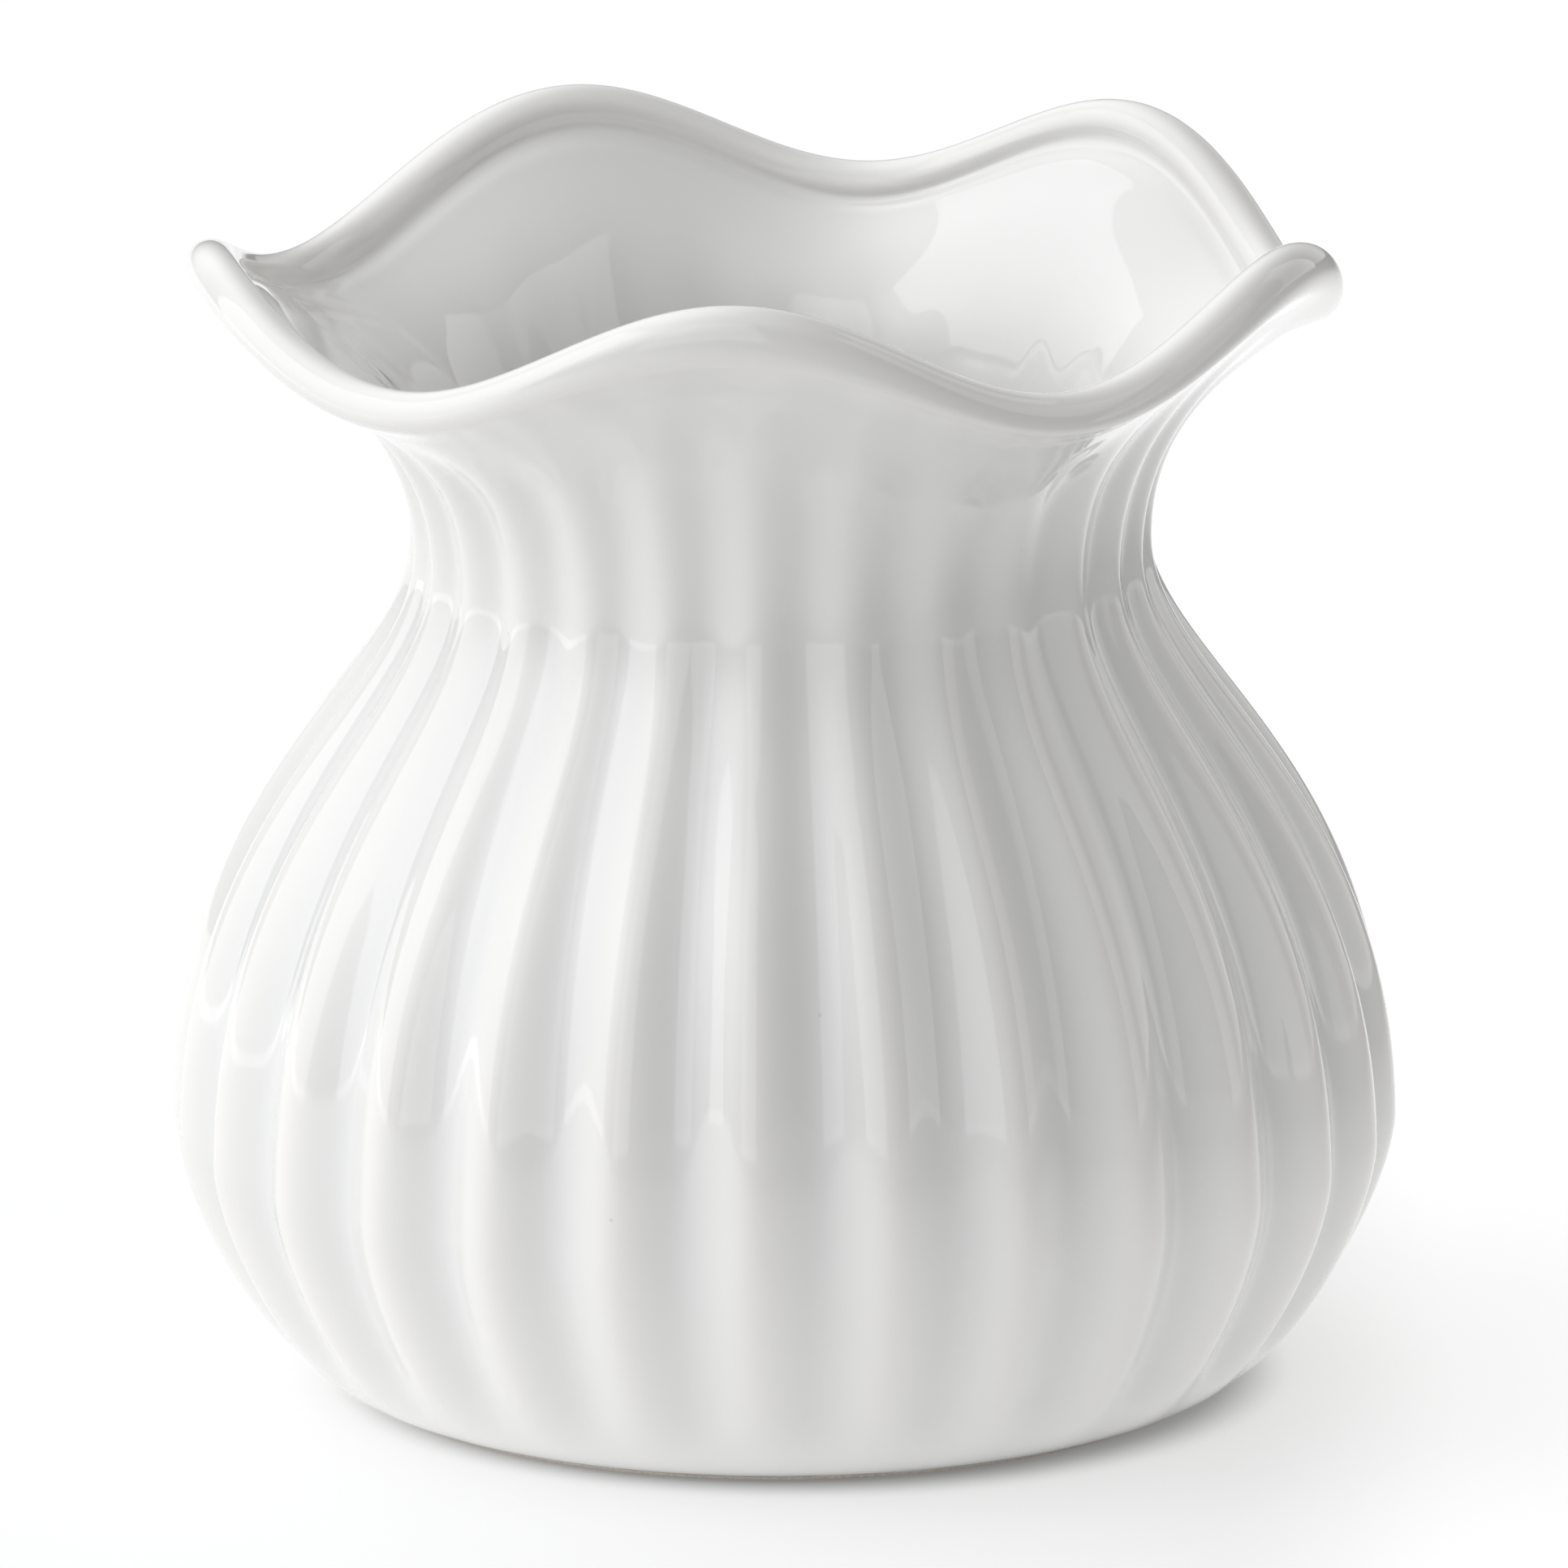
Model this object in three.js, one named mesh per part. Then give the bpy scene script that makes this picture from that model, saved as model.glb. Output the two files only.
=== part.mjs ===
// A round glazed vase: ribbed belly, narrow neck and a flared, ruffled rim with a rolled lip.
// Millimetres, +Z up. The origin is on the table, under the middle of the foot.

import * as THREE from 'three';

// Foot and underside
const FOOT_RADIUS = 52.2; // outer edge of the ring that carries the vase
const FOOT_RING_WIDTH = 5.5; // bare clay between the outer edge and the recess
const FOOT_EDGE_ROUNDING = 0.8; // soft edge where the glaze stops
const RECESS_DEPTH = 1.5; // the underside is set back this far inside the ring

// Belly and neck, measured on the crests of the ribs
const BELLY_RADIUS = 75;
const BELLY_HEIGHT = 33.5; // widest level above the foot's edge
const BELLY_UNDERCUT = 10.9; // the underside runs out this far, almost level, from the foot
const BELLY_LOWER_FULLNESS = 9.2; // upright stretch below the widest level
const BELLY_UPPER_FULLNESS = 43; // upright stretch above it
const NECK_HALF_WIDTH = 45.3; // left to right
const NECK_HALF_DEPTH = 50; // front to back
const NECK_ABOVE_BELLY = 72;
const NECK_LOWER_FULLNESS = 17.4; // upright stretch below the neck's waist
const NECK_UPPER_FULLNESS = 15; // upright stretch above it

// Rim: one rolled lip that rises and falls in ruffles
const LIP_RADIUS = 65.2; // mean radius of the lip's centre line
const LIP_ABOVE_NECK = 32.6; // mean height of the lip's centre line above the neck
const LIP_THICKNESS = 6.4;
const LIP_LEAN_DEGREES = 46; // lean of the wall where it meets the lip, from upright
const LIP_STRAIGHT = 8; // straight stretch of wall below the lip
const LIP_ROLL_FROM_DEGREES = -12; // where the roll leaves the outer face, from square to the wall
const LIP_ROLL_TO_DEGREES = 205; // and where it comes down on the inner face
const RUFFLES = 5;
const RUFFLE_RISE = 6; // crests stand this far above the mean height
const RUFFLE_REACH = 0.8; // and this far outside the mean radius
const RUFFLE_TURN_DEGREES = -97.5; // direction of one crest
const RUFFLE_ONSET = 2; // the higher this is, the nearer to the lip the ruffles begin
const RUFFLE_DRIFT_DEGREES = 4.3; // pushed by hand: the ruffles crowd on one side
const RUFFLE_DRIFT_SIDE_DEGREES = 62;
const RUFFLE_UNEVENNESS = 0.12; // and they stand taller on one side
const RUFFLE_TALL_SIDE_DEGREES = -29;
const RIM_OVAL = 1.9; // the rim is wider by this, and less deep by this, than round
const RIM_SADDLE = 2.1; // its left and right droop by this, its front and back rise by this
const RIM_SHIFT = -1.4; // the rim sits a little to the left of the foot
const RIM_TILT = 0.6; // and its right side stands this much higher

// Ribs
const RIBS = 28;
const RIB_DEPTH = 2.9; // from crest to hollow at the belly
const RIB_TURN_DEGREES = -86.6; // direction of one hollow
const RIB_FULL = 14; // height above the foot's edge, where they begin, at which they are full
const RIB_FADE_ABOVE_NECK = 12; // height where they begin to fade into the flare
const RIB_END_ABOVE_NECK = 29; // height where they are gone, below the lip

// Walls
const WALL = 4.2; // behind the hollows of the ribs
const FLOOR_THICKNESS = 6;
const FLOOR_INSET = 8; // the flat floor inside ends this far inside the foot's edge

// Protective pads in the recess of the underside
const PADS = 4;
const PAD_RADIUS = 6;
const PAD_PROUD = 0.3; // they hold the foot's edge this far off the table
const PAD_SOFT_EDGE = 0.5;
const PAD_INSET = 4.5; // between a pad's edge and the wall of the recess
const PAD_TURN_DEGREES = 45;

// Flat faces that the curves are cut into
const FACETS_PER_RIB = 4;
const BELLY_LOWER_STEPS = 8;
const BELLY_UPPER_STEPS = 7;
const FLARE_STEPS = 5;
const LIP_STEPS = 5;
const FLOOR_STEPS = 2;
const PAD_FACETS = 24;

const footLevel = PAD_PROUD;
const recessLevel = footLevel + RECESS_DEPTH;
const recessRadius = FOOT_RADIUS - FOOT_RING_WIDTH;
const floorLevel = recessLevel + FLOOR_THICKNESS;
const bellyLevel = footLevel + BELLY_HEIGHT;
const neckLevel = bellyLevel + NECK_ABOVE_BELLY;
const lipLevel = neckLevel + LIP_ABOVE_NECK;
const neckRadius = (NECK_HALF_WIDTH + NECK_HALF_DEPTH) / 2;
const neckOval = (NECK_HALF_WIDTH - NECK_HALF_DEPTH) / 2;
const radians = THREE.MathUtils.degToRad;
const smoothstep = THREE.MathUtils.smoothstep;
const clamp = THREE.MathUtils.clamp;

const glaze = new THREE.MeshStandardMaterial({ color: 0xf2f1ee, roughness: 0.12, metalness: 0 });
const softPad = new THREE.MeshStandardMaterial({ color: 0xd6d6d2, roughness: 0.55, metalness: 0 });

// How far the ribs have grown at a height, from 0 at the foot and below the lip to 1 on the belly.
// They get shallower with the square of the radius, because they crowd together at the neck.
function ribShare(radius, height) {
  const grown = smoothstep(height, footLevel, footLevel + RIB_FULL);
  const faded = smoothstep(height, neckLevel + RIB_FADE_ABOVE_NECK, neckLevel + RIB_END_ABOVE_NECK);
  return grown * (1 - faded) * (radius / BELLY_RADIUS) ** 2;
}

// How much a height takes part in the ruffles, from 0 at the neck to 1 at the lip.
function ruffleShare(height) {
  return clamp((height - neckLevel) / LIP_ABOVE_NECK, 0, 1) ** RUFFLE_ONSET;
}

// Half the difference between width and depth at a height.
function ovalAt(height) {
  const narrowed = smoothstep(height, bellyLevel, neckLevel);
  return neckOval * narrowed + (RIM_OVAL - neckOval) * ruffleShare(height);
}

// The outside of the wall as curves of (radius, height), from the foot's edge up to the lip.
function outerCurves() {
  const foot = new THREE.Vector2(FOOT_RADIUS, footLevel + FOOT_EDGE_ROUNDING);
  const belly = new THREE.Vector2(BELLY_RADIUS, bellyLevel);
  const neck = new THREE.Vector2(neckRadius, neckLevel);
  const { centre, along, outward } = lipFrame();
  const lip = centre.clone().addScaledVector(outward, WALL / 2).addScaledVector(along, -LIP_THICKNESS);
  return {
    lower: new THREE.CubicBezierCurve(
      foot,
      new THREE.Vector2(FOOT_RADIUS + BELLY_UNDERCUT, foot.y + FOOT_EDGE_ROUNDING),
      new THREE.Vector2(BELLY_RADIUS, bellyLevel - BELLY_LOWER_FULLNESS),
      belly,
    ),
    upper: new THREE.CubicBezierCurve(
      belly,
      new THREE.Vector2(BELLY_RADIUS, bellyLevel + BELLY_UPPER_FULLNESS),
      new THREE.Vector2(neckRadius, neckLevel - NECK_LOWER_FULLNESS),
      neck,
    ),
    flare: new THREE.CubicBezierCurve(
      neck,
      new THREE.Vector2(neckRadius, neckLevel + NECK_UPPER_FULLNESS),
      lip.clone().addScaledVector(along, -LIP_STRAIGHT),
      lip,
    ),
  };
}

// The centre of the rolled lip, the direction in which the wall reaches it, and the outward normal.
function lipFrame() {
  const lean = radians(LIP_LEAN_DEGREES);
  return {
    centre: new THREE.Vector2(LIP_RADIUS, lipLevel),
    along: new THREE.Vector2(Math.sin(lean), Math.cos(lean)),
    outward: new THREE.Vector2(Math.cos(lean), -Math.sin(lean)),
  };
}

// Evenly stepped points of one curve of the outside, without its last one.
function outerPoints(curve, steps) {
  return curve.getPoints(steps).slice(0, -1);
}

// The same steps on the inside of the wall, thinned by the wall and by the depth of the ribs there.
function innerPoints(curve, steps, first = 0) {
  const points = [];
  for (let i = first; i <= steps; i += 1) {
    const outside = curve.getPoint(i / steps);
    const tangent = curve.getTangent(i / steps);
    const depth = WALL + RIB_DEPTH * ribShare(outside.x, outside.y);
    points.push(new THREE.Vector2(outside.x - tangent.y * depth, outside.y + tangent.x * depth));
  }
  return points;
}

// The roll of the lip, from its outer side over the top to its inner side.
function lipPoints() {
  const { centre, along, outward } = lipFrame();
  const points = [];
  for (let i = 0; i <= LIP_STEPS; i += 1) {
    const turn = radians(THREE.MathUtils.lerp(LIP_ROLL_FROM_DEGREES, LIP_ROLL_TO_DEGREES, i / LIP_STEPS));
    const point = centre.clone();
    point.addScaledVector(outward, Math.cos(turn) * (LIP_THICKNESS / 2));
    point.addScaledVector(along, Math.sin(turn) * (LIP_THICKNESS / 2));
    points.push(point);
  }
  return points;
}

// The closed section of the ceramic, from the middle of the underside round to the middle of the floor.
function section() {
  const { lower, upper, flare } = outerCurves();
  const underside = [
    new THREE.Vector2(0, recessLevel),
    new THREE.Vector2(recessRadius, recessLevel),
    new THREE.Vector2(recessRadius, footLevel),
    new THREE.Vector2(FOOT_RADIUS - FOOT_EDGE_ROUNDING, footLevel),
  ];
  const outside = [
    ...outerPoints(lower, BELLY_LOWER_STEPS),
    ...outerPoints(upper, BELLY_UPPER_STEPS),
    ...flare.getPoints(FLARE_STEPS),
  ];
  const bellyInside = innerPoints(lower, BELLY_LOWER_STEPS, Math.ceil(BELLY_LOWER_STEPS / 2));
  const inside = [
    ...bellyInside.slice(0, -1),
    ...innerPoints(upper, BELLY_UPPER_STEPS).slice(0, -1),
    ...innerPoints(flare, FLARE_STEPS),
  ].reverse();
  const wallFoot = bellyInside[0];
  const floorEdge = new THREE.Vector2(FOOT_RADIUS - FLOOR_INSET, floorLevel);
  const corner = new THREE.Vector2((floorEdge.x + wallFoot.x) / 2, floorLevel);
  const cove = new THREE.QuadraticBezierCurve(wallFoot, corner, floorEdge).getPoints(FLOOR_STEPS).slice(1);
  const middle = new THREE.Vector2(0, floorLevel);
  return {
    points: [...underside, ...outside, ...lipPoints(), ...inside, ...cove, middle],
    firstRibbed: underside.length,
    lastRibbed: underside.length + outside.length - 1,
  };
}

// Where a point of the plain round section ends up: pressed in by a rib's hollow, drawn oval,
// and carried up, down, in or out by the ruffles.
function shaped(radius, height, direction, ribbed) {
  const hollow = (1 + Math.cos(RIBS * (direction - radians(RIB_TURN_DEGREES)))) / 2;
  const drift = radians(RUFFLE_DRIFT_DEGREES) * Math.sin(direction - radians(RUFFLE_DRIFT_SIDE_DEGREES));
  const ruffle = Math.cos(RUFFLES * (direction - radians(RUFFLE_TURN_DEGREES) + drift));
  const taller = 1 + RUFFLE_UNEVENNESS * Math.cos(direction - radians(RUFFLE_TALL_SIDE_DEGREES));
  const share = ruffleShare(height);
  const reach = RUFFLE_REACH * ruffle + RIM_SHIFT * Math.cos(direction);
  const droop = RIM_SADDLE * Math.cos(2 * direction) - RIM_TILT * Math.cos(direction);
  const rise = RUFFLE_RISE * taller * ruffle - droop;
  const pressed = ribbed ? RIB_DEPTH * ribShare(radius, height) * hollow : 0;
  return {
    radius: radius - pressed + ovalAt(height) * Math.cos(2 * direction) + share * reach,
    height: height + share * rise,
  };
}

function vaseBody() {
  const { points, firstRibbed, lastRibbed } = section();
  const start = radians(RIB_TURN_DEGREES + 90);
  const geometry = new THREE.LatheGeometry(points, RIBS * FACETS_PER_RIB, start);
  geometry.rotateX(Math.PI / 2);
  const position = geometry.attributes.position;
  for (let i = 0; i < position.count; i += 1) {
    const station = i % points.length;
    const { x: radius, y: height } = points[station];
    if (radius > 0) {
      const direction = Math.atan2(position.getY(i), position.getX(i));
      const ribbed = station >= firstRibbed && station <= lastRibbed;
      const place = shaped(radius, height, direction, ribbed);
      position.setXYZ(
        i,
        place.radius * Math.cos(direction),
        place.radius * Math.sin(direction),
        place.height,
      );
    }
  }
  geometry.computeVertexNormals();
  const mesh = new THREE.Mesh(geometry, glaze);
  mesh.name = 'vase_body';
  return mesh;
}

// A round dot, soft at its lower edge, that fills the depth of the recess and stands a little proud.
function footPad(number) {
  const profile = [
    new THREE.Vector2(0, 0),
    new THREE.Vector2(PAD_RADIUS - PAD_SOFT_EDGE, 0),
    new THREE.Vector2(PAD_RADIUS, PAD_SOFT_EDGE),
    new THREE.Vector2(PAD_RADIUS, recessLevel),
    new THREE.Vector2(0, recessLevel),
  ];
  const geometry = new THREE.LatheGeometry(profile, PAD_FACETS);
  geometry.rotateX(Math.PI / 2);
  const mesh = new THREE.Mesh(geometry, softPad);
  const direction = radians(PAD_TURN_DEGREES) + ((number - 1) / PADS) * 2 * Math.PI;
  const distance = recessRadius - PAD_INSET - PAD_RADIUS;
  mesh.position.set(distance * Math.cos(direction), distance * Math.sin(direction), 0);
  mesh.name = `foot_pad_${number}`;
  return mesh;
}

const vase = new THREE.Group();
vase.add(vaseBody());
for (let number = 1; number <= PADS; number += 1) {
  vase.add(footPad(number));
}

export default vase;
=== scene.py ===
"""A round glazed vase with a ribbed belly, a narrow neck and a ruffled, rolled rim, on four soft pads."""

import math

import bpy
import numpy as np
from bpy.props import FloatProperty, FloatVectorProperty, IntProperty, PointerProperty
from mathutils import Matrix, Vector


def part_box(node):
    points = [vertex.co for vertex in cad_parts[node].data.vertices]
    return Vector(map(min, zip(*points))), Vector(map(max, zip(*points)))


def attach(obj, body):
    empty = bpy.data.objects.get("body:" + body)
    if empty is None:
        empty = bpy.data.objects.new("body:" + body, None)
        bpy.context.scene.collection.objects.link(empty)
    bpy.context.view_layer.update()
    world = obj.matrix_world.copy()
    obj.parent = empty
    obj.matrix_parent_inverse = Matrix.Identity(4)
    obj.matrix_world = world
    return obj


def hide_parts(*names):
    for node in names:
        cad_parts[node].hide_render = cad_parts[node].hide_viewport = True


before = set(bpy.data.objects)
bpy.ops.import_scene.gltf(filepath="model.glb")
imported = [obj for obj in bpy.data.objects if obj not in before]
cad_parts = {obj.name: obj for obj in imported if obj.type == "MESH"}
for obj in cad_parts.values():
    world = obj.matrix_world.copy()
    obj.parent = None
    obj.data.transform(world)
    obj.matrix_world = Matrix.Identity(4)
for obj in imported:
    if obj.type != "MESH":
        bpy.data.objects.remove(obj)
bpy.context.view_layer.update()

bl_info = {
    "name": "Ribbed vase with a ruffled rim",
    "version": (1, 0, 0),
    "blender": (4, 5, 0),
    "location": "3D View > Sidebar > Vase",
    "description": "Makes a glazed, ribbed vase with a ruffled lip, its foot pads and a plain studio",
    "category": "Add Mesh",
}

BODY = "root"
FOOT_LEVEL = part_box("vase_body")[0].z
PAD_NODES = [name for name in sorted(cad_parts) if name.startswith("foot_pad_")]
MILLIMETRE = 0.001


def length(name, millimetres, description):
    """A size that a user may change, shown as a length."""
    default = millimetres * MILLIMETRE
    return FloatProperty(name=name, description=description, default=default, unit="LENGTH", precision=5)


def angle(name, degrees, description):
    """A direction or a lean that a user may change, shown in degrees."""
    return FloatProperty(name=name, description=description, default=math.radians(degrees), unit="ROTATION")


def share(name, value, description):
    """A plain number that a user may change."""
    return FloatProperty(name=name, description=description, default=value, precision=4)


def colour(name, value, description):
    """A colour that a user may change."""
    settings = {"default": value, "subtype": "COLOR", "min": 0, "max": 1}
    return FloatVectorProperty(name=name, description=description, **settings)


class VaseShape(bpy.types.PropertyGroup):
    """Sizes of the vase's ceramic."""

    foot_radius: length("Foot radius", 52.2, "Outer edge of the ring that carries the vase")
    foot_ring_width: length("Foot ring width", 5.5, "Bare clay between the outer edge and the recess")
    foot_edge_rounding: length("Foot edge rounding", 0.8, "Soft outer edge where the glaze stops")
    recess_depth: length("Recess depth", 1.5, "How far the underside is set back inside the ring")
    recess_fillet: length("Recess fillet", 0.5, "Soft corner between the ring and the recess")
    belly_radius: length("Belly radius", 75, "Widest radius, on the crests of the ribs")
    belly_height: length("Belly height", 33.5, "Widest level above the foot's edge")
    belly_undercut: length("Belly undercut", 10.9, "How far it runs out from the foot, almost level")
    belly_lower_fullness: length("Lower fullness", 9.2, "Upright stretch below the widest level")
    belly_upper_fullness: length("Upper fullness", 43, "Upright stretch above the widest level")
    neck_half_width: length("Neck half width", 45.3, "Left to right")
    neck_half_depth: length("Neck half depth", 50, "Front to back")
    neck_above_belly: length("Neck above belly", 72, "Height of the waist above the widest level")
    neck_lower_fullness: length("Neck lower fullness", 17.4, "Upright stretch below the waist")
    neck_upper_fullness: length("Neck upper fullness", 15, "Upright stretch above the waist")
    lip_radius: length("Lip radius", 65.2, "Mean radius of the lip's centre line")
    lip_above_neck: length("Lip above neck", 32.6, "Mean height of the lip's centre line above the waist")
    lip_thickness: length("Lip thickness", 6.4, "Diameter of the rolled lip")
    lip_lean: angle("Lip lean", 46, "Lean of the wall where it meets the lip, from upright")
    lip_straight: length("Lip straight", 8, "Straight stretch of wall below the lip")
    lip_roll_from: angle("Roll starts", -12, "Where the roll leaves the outer face, from square to the wall")
    lip_roll_to: angle("Roll ends", 232, "Where the roll comes down on the inner face")
    ruffles: IntProperty(name="Ruffles", description="Waves around the rim", default=5)
    ruffle_rise: length("Ruffle rise", 6, "How far the crests stand above the mean height")
    ruffle_reach: length("Ruffle reach", 0.8, "How far the crests stand outside the mean radius")
    ruffle_turn: angle("Ruffle turn", -97.5, "Direction of one crest")
    ruffle_onset: share("Ruffle onset", 2, "The higher this is, the nearer to the lip the ruffles begin")
    ruffle_drift: angle("Ruffle drift", 4.3, "How far the ruffles crowd on one side")
    ruffle_drift_side: angle("Ruffle drift side", 62, "Side from which they drift")
    ruffle_unevenness: share("Ruffle unevenness", 0.12, "How much taller they stand on one side")
    ruffle_tall_side: angle("Ruffle tall side", -29, "The side where they stand tallest")
    rim_oval: length("Rim oval", 1.9, "Wider by this, and less deep by this, than round")
    rim_saddle: length("Rim saddle", 2.1, "Its left and right droop by this, its front and back rise by this")
    rim_shift: length("Rim shift", -1.4, "How far the rim sits to the right of the foot")
    rim_tilt: length("Rim tilt", 0.6, "How much higher its right side stands")
    ribs: IntProperty(name="Ribs", description="Ribs around the belly", default=28)
    rib_depth: length("Rib depth", 2.9, "From crest to hollow at the belly")
    rib_turn: angle("Rib turn", -86.6, "Direction of one hollow")
    rib_full: length("Rib full", 14, "Height above the foot's edge, where they begin, at which they are full")
    rib_fade: length("Rib fade", 12, "Height above the neck where they begin to fade into the flare")
    rib_end: length("Rib end", 29, "Height above the neck where they are gone")
    rib_ghost: share("Rib ghost", 0.2, "How much of the ribs shows on the inside of the wall")
    wall: length("Wall", 4.2, "Thickness behind the hollows of the ribs")
    floor_thickness: length("Floor thickness", 6, "Ceramic under the floor inside")
    floor_inset: length("Floor inset", 8, "The flat floor ends this far inside the foot's edge")


class VaseFinish(bpy.types.PropertyGroup):
    """Colours and gloss of the glaze, the bare clay and the pads."""

    glaze: colour("Glaze", (0.83, 0.825, 0.808), "The white glaze where it has its usual thickness")
    pooled: colour("Pooled glaze", (0.775, 0.78, 0.765), "Where it has run together in hollows")
    thin: colour("Thin glaze", (0.85, 0.835, 0.808), "Where it has run off crests and edges")
    speck: colour("Speck", (0.62, 0.6, 0.56), "The few small specks that come up through the glaze")
    gloss: share("Gloss roughness", 0.05, "Roughness of the glaze below its clear skin")
    clay: colour("Bare clay", (0.72, 0.67, 0.6), "The wiped ring that stands on the table side")
    clay_dark: colour("Clay grain", (0.58, 0.53, 0.46), "Darker grains in the bare clay")
    pad: colour("Pad", (0.7, 0.7, 0.68), "The soft pads")


class VaseStudio(bpy.types.PropertyGroup):
    """Where the camera stands, and how bright the studio is."""

    camera_distance: length("Camera distance", 4000, "From the vase's axis to the lens")
    camera_elevation: angle("Camera elevation", 14.4, "How far the camera looks down")
    camera_roll: angle("Camera roll", -0.37, "Turn of the camera about the line that it looks along")
    camera_lens: share("Camera lens", 750.9, "Focal length in millimetres")
    aim_height: length("Aim height", 74.26, "Height above the table of the picture's middle")
    aim_across: length("Aim across", 0.18, "How far to the right of the axis the picture's middle is")
    panel_strength: share("Panels", 1, "Brightness of the upright panels, as a share of the usual")
    room_strength: share("Room", 1, "Brightness of the light off the room, as a share of the usual")
    # Scales the floor's painted glow, and with it the painted shadow round the vase
    painted_glow_strength: share("Table", 1, "Brightness of the light from below the table, as a share of the usual")


def register():
    """Adds the properties, operators and panel."""
    for kind in CLASSES:
        bpy.utils.register_class(kind)
    bpy.types.Scene.vase_shape = PointerProperty(type=VaseShape)
    bpy.types.Scene.vase_finish = PointerProperty(type=VaseFinish)
    bpy.types.Scene.vase_studio = PointerProperty(type=VaseStudio)


def unregister():
    """Takes them away again."""
    del bpy.types.Scene.vase_studio
    del bpy.types.Scene.vase_finish
    del bpy.types.Scene.vase_shape
    for kind in reversed(CLASSES):
        bpy.utils.unregister_class(kind)


# Section of the ceramic, as points of (radius, height)


def bezier(corners, steps):
    """A cubic curve: each of four corners weighted by its term of ((1 - t) + t) cubed, t from 0 to 1."""
    t = np.linspace(0, 1, steps + 1)[:, None]
    a, b, c, d = (np.array(corner, float) for corner in corners)
    return (1 - t) ** 3 * a + 3 * (1 - t) ** 2 * t * b + 3 * (1 - t) * t**2 * c + t**3 * d


def arc(centre, radius, start, end, steps):
    """Part of a circle: centre plus radius times (cosine, sine) of an angle that runs from start to end."""
    turn = np.radians(np.linspace(start, end, steps + 1))
    return np.array(centre) + radius * np.stack([np.cos(turn), np.sin(turn)], axis=1)


def smoothstep(value, low, high):
    """0 below low, 1 above high, and 3 t squared minus 2 t cubed between them."""
    t = np.clip((value - low) / (high - low), 0, 1)
    return t * t * (3 - 2 * t)


def levels(shape):
    """Heights of the foot's edge, the recess, the floor inside, the belly, the neck and the lip."""
    foot = FOOT_LEVEL
    recess = foot + shape.recess_depth
    belly = foot + shape.belly_height
    neck = belly + shape.neck_above_belly
    return foot, recess, recess + shape.floor_thickness, belly, neck, neck + shape.lip_above_neck


def rib_share(shape, radius, height):
    """How far the ribs have grown: 0 at the foot and below the lip, 1 on the belly, less where they crowd."""
    foot, _, _, _, neck, _ = levels(shape)
    grown = smoothstep(height, foot, foot + shape.rib_full)
    faded = smoothstep(height, neck + shape.rib_fade, neck + shape.rib_end)
    return grown * (1 - faded) * (radius / shape.belly_radius) ** 2


def lip_frame(shape):
    """The lip's centre, the direction in which the wall reaches it, and the outward normal."""
    lean = shape.lip_lean
    centre = np.array([shape.lip_radius, levels(shape)[-1]])
    return centre, np.array([math.sin(lean), math.cos(lean)]), np.array([math.cos(lean), -math.sin(lean)])


def outer_curves(shape):
    """The outside of the wall: foot to belly, belly to neck, neck to just below the lip."""
    foot_level, _, _, belly_level, neck_level, _ = levels(shape)
    neck_radius = (shape.neck_half_width + shape.neck_half_depth) / 2
    rounding = shape.foot_edge_rounding
    centre, along, outward = lip_frame(shape)
    lip = centre + outward * shape.wall / 2 - along * shape.lip_thickness
    foot = (shape.foot_radius, foot_level + rounding)
    belly = (shape.belly_radius, belly_level)
    neck = (neck_radius, neck_level)
    lower = (
        foot,
        (shape.foot_radius + shape.belly_undercut, foot[1] + rounding),
        (shape.belly_radius, belly_level - shape.belly_lower_fullness),
        belly,
    )
    upper = (
        belly,
        (shape.belly_radius, belly_level + shape.belly_upper_fullness),
        (neck_radius, neck_level - shape.neck_lower_fullness),
        neck,
    )
    flare = (
        neck,
        (neck_radius, neck_level + shape.neck_upper_fullness),
        lip - along * shape.lip_straight,
        lip,
    )
    return lower, upper, flare


# How finely the section and the way round are divided
LOWER_STEPS = 28
UPPER_STEPS = 44
FLARE_STEPS = 36
BLEND_STEPS = 8
ROLL_STEPS = 22
COVE_STEPS = 8
FLAT_STEPS = 4
CORNER_STEPS = 4
STEPS_PER_RIB = 15
# The inside below the neck keeps one ring in three, and the flat rings begin at this share of their radius
HIDDEN_STRIDE = 3
FIRST_FLAT_RING = 0.12


def inside_of(shape, outside):
    """The outside curve moved inwards, square to itself, by the wall and by the depth of the ribs there."""
    tangent = np.gradient(outside, axis=0)
    tangent /= np.linalg.norm(tangent, axis=1)[:, None]
    depth = shape.wall + shape.rib_depth * rib_share(shape, outside[:, 0], outside[:, 1])
    normal = np.stack([-tangent[:, 1], tangent[:, 0]], axis=1)
    return outside + normal * depth[:, None]


def rolled_lip(shape, outside_end, inside_end):
    """The lip: a soft blend out of the wall, a round roll over the top, and a blend back into the wall."""
    centre, along, outward = lip_frame(shape)
    radius = shape.lip_thickness / 2
    turn = np.linspace(shape.lip_roll_from, shape.lip_roll_to, ROLL_STEPS + 1)[:, None]
    roll = centre + radius * (np.cos(turn) * outward + np.sin(turn) * along)
    facing = -np.sin(turn) * outward + np.cos(turn) * along
    out_grip = np.linalg.norm(roll[0] - outside_end) / 3
    in_grip = np.linalg.norm(roll[-1] - inside_end) / 3
    leaving = (outside_end, outside_end + along * out_grip, roll[0] - facing[0] * out_grip, roll[0])
    coming = (roll[-1], roll[-1] + facing[-1] * in_grip, inside_end + along * in_grip, inside_end)
    out_blend, in_blend = bezier(leaving, BLEND_STEPS), bezier(coming, BLEND_STEPS)
    return out_blend[1:-1], roll, in_blend[1:-1]


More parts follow.
